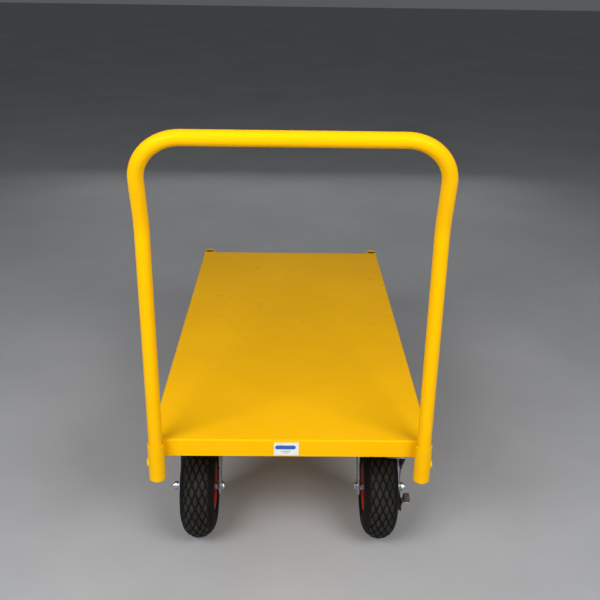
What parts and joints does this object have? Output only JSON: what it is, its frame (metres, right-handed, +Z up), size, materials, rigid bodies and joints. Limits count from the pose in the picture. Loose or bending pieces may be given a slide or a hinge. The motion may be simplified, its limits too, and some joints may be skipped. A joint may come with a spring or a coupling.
{
  "type": "platform trolley",
  "caption": "Flat steel platform trolley with a bent tube push handle, swivel castors at the handle end, fixed castors at the far end and one braked castor.",
  "frame": {"origin": "on the floor, at the centre of the overall plan", "axes": "+X to the right seen from the handle, +Y away from the handle along the deck, +Z up"},
  "size_m": [0.6176, 1.3362, 1.0535],
  "materials": {
    "yellow_powder_coat": "gloss powder coat",
    "zinc_plated_steel": "bright zinc plate",
    "bearing_steel": "polished",
    "red_rim_paint": "gloss paint",
    "tyre_rubber": "moulded",
    "tube_rubber": "smooth",
    "black_steel": "satin black",
    "pedal_rubber": "matt",
    "label_vinyl": "printed vinyl"
  },
  "bodies": {
    "deck": {"deck_tray": "yellow_powder_coat", "near_bolster": "yellow_powder_coat", "far_bolster": "yellow_powder_coat", "side_rails": "yellow_powder_coat", "cross_ribs": "yellow_powder_coat", "data_label": "label_vinyl", "near_left_socket": "yellow_powder_coat", "near_right_socket": "yellow_powder_coat", "far_left_socket": "yellow_powder_coat", "far_right_socket": "yellow_powder_coat", "push_handle": "yellow_powder_coat", "handle_plugs": "zinc_plated_steel", "handle_bolts": "zinc_plated_steel", "near_left_plate": "zinc_plated_steel", "near_right_plate": "zinc_plated_steel", "kingpins": "zinc_plated_steel", "kingpin_nuts": "zinc_plated_steel", "far_left_bracket": "zinc_plated_steel", "far_right_bracket": "zinc_plated_steel", "far_axle_bolts": "zinc_plated_steel", "far_axle_hardware": "zinc_plated_steel", "castor_bolts": "zinc_plated_steel", "castor_nuts": "zinc_plated_steel"},
    "left_castor": {"near_left_fork": "zinc_plated_steel", "near_left_balls": "bearing_steel", "near_left_axle_bolt": "zinc_plated_steel", "near_left_axle_hardware": "zinc_plated_steel"},
    "right_castor": {"near_right_fork": "zinc_plated_steel", "near_right_balls": "bearing_steel", "near_right_axle_bolt": "zinc_plated_steel", "near_right_axle_hardware": "zinc_plated_steel"},
    "near_left_wheel": {"near_left_tyre": "tyre_rubber", "near_left_inner_tube": "tube_rubber", "near_left_rim_halves": "red_rim_paint", "near_left_rim_bolts": "zinc_plated_steel", "near_left_hub": "black_steel", "near_left_wheel_bearings": "bearing_steel"},
    "near_right_wheel": {"near_right_tyre": "tyre_rubber", "near_right_inner_tube": "tube_rubber", "near_right_rim_halves": "red_rim_paint", "near_right_rim_bolts": "zinc_plated_steel", "near_right_hub": "black_steel", "near_right_wheel_bearings": "bearing_steel"},
    "far_left_wheel": {"far_left_tyre": "tyre_rubber", "far_left_inner_tube": "tube_rubber", "far_left_rim_halves": "red_rim_paint", "far_left_rim_bolts": "zinc_plated_steel", "far_left_hub": "black_steel", "far_left_wheel_bearings": "bearing_steel"},
    "far_right_wheel": {"far_right_tyre": "tyre_rubber", "far_right_inner_tube": "tube_rubber", "far_right_rim_halves": "red_rim_paint", "far_right_rim_bolts": "zinc_plated_steel", "far_right_hub": "black_steel", "far_right_wheel_bearings": "bearing_steel"},
    "brake": {"brake_pin": "black_steel", "brake_shoe": "zinc_plated_steel", "brake_lever": "black_steel", "brake_pedal": "zinc_plated_steel", "pedal_pad": "pedal_rubber"}
  },
  "joints": [
    {"name": "left_swivel", "type": "hinge", "parent": "deck", "child": "left_castor", "pos_m": [-0.22, -0.34389, 0.301], "axis": [0, 0, 1], "continuous": true},
    {"name": "right_swivel", "type": "hinge", "parent": "deck", "child": "right_castor", "pos_m": [0.22, -0.34389, 0.301], "axis": [0, 0, 1], "continuous": true},
    {"name": "near_left_wheel_spin", "type": "hinge", "parent": "left_castor", "child": "near_left_wheel", "pos_m": [-0.22, -0.40989, 0.125], "axis": [1, 0, 0], "continuous": true},
    {"name": "near_right_wheel_spin", "type": "hinge", "parent": "right_castor", "child": "near_right_wheel", "pos_m": [0.22, -0.40989, 0.125], "axis": [1, 0, 0], "continuous": true},
    {"name": "far_left_wheel_spin", "type": "hinge", "parent": "deck", "child": "far_left_wheel", "pos_m": [-0.22, 0.46011, 0.125], "axis": [1, 0, 0], "continuous": true},
    {"name": "far_right_wheel_spin", "type": "hinge", "parent": "deck", "child": "far_right_wheel", "pos_m": [0.22, 0.46011, 0.125], "axis": [1, 0, 0], "continuous": true},
    {"name": "brake_lever_swing", "type": "hinge", "parent": "right_castor", "child": "brake", "pos_m": [0.269, -0.38589, 0.172], "axis": [1, 0, 0], "range_deg": [0, 12]}
  ]
}
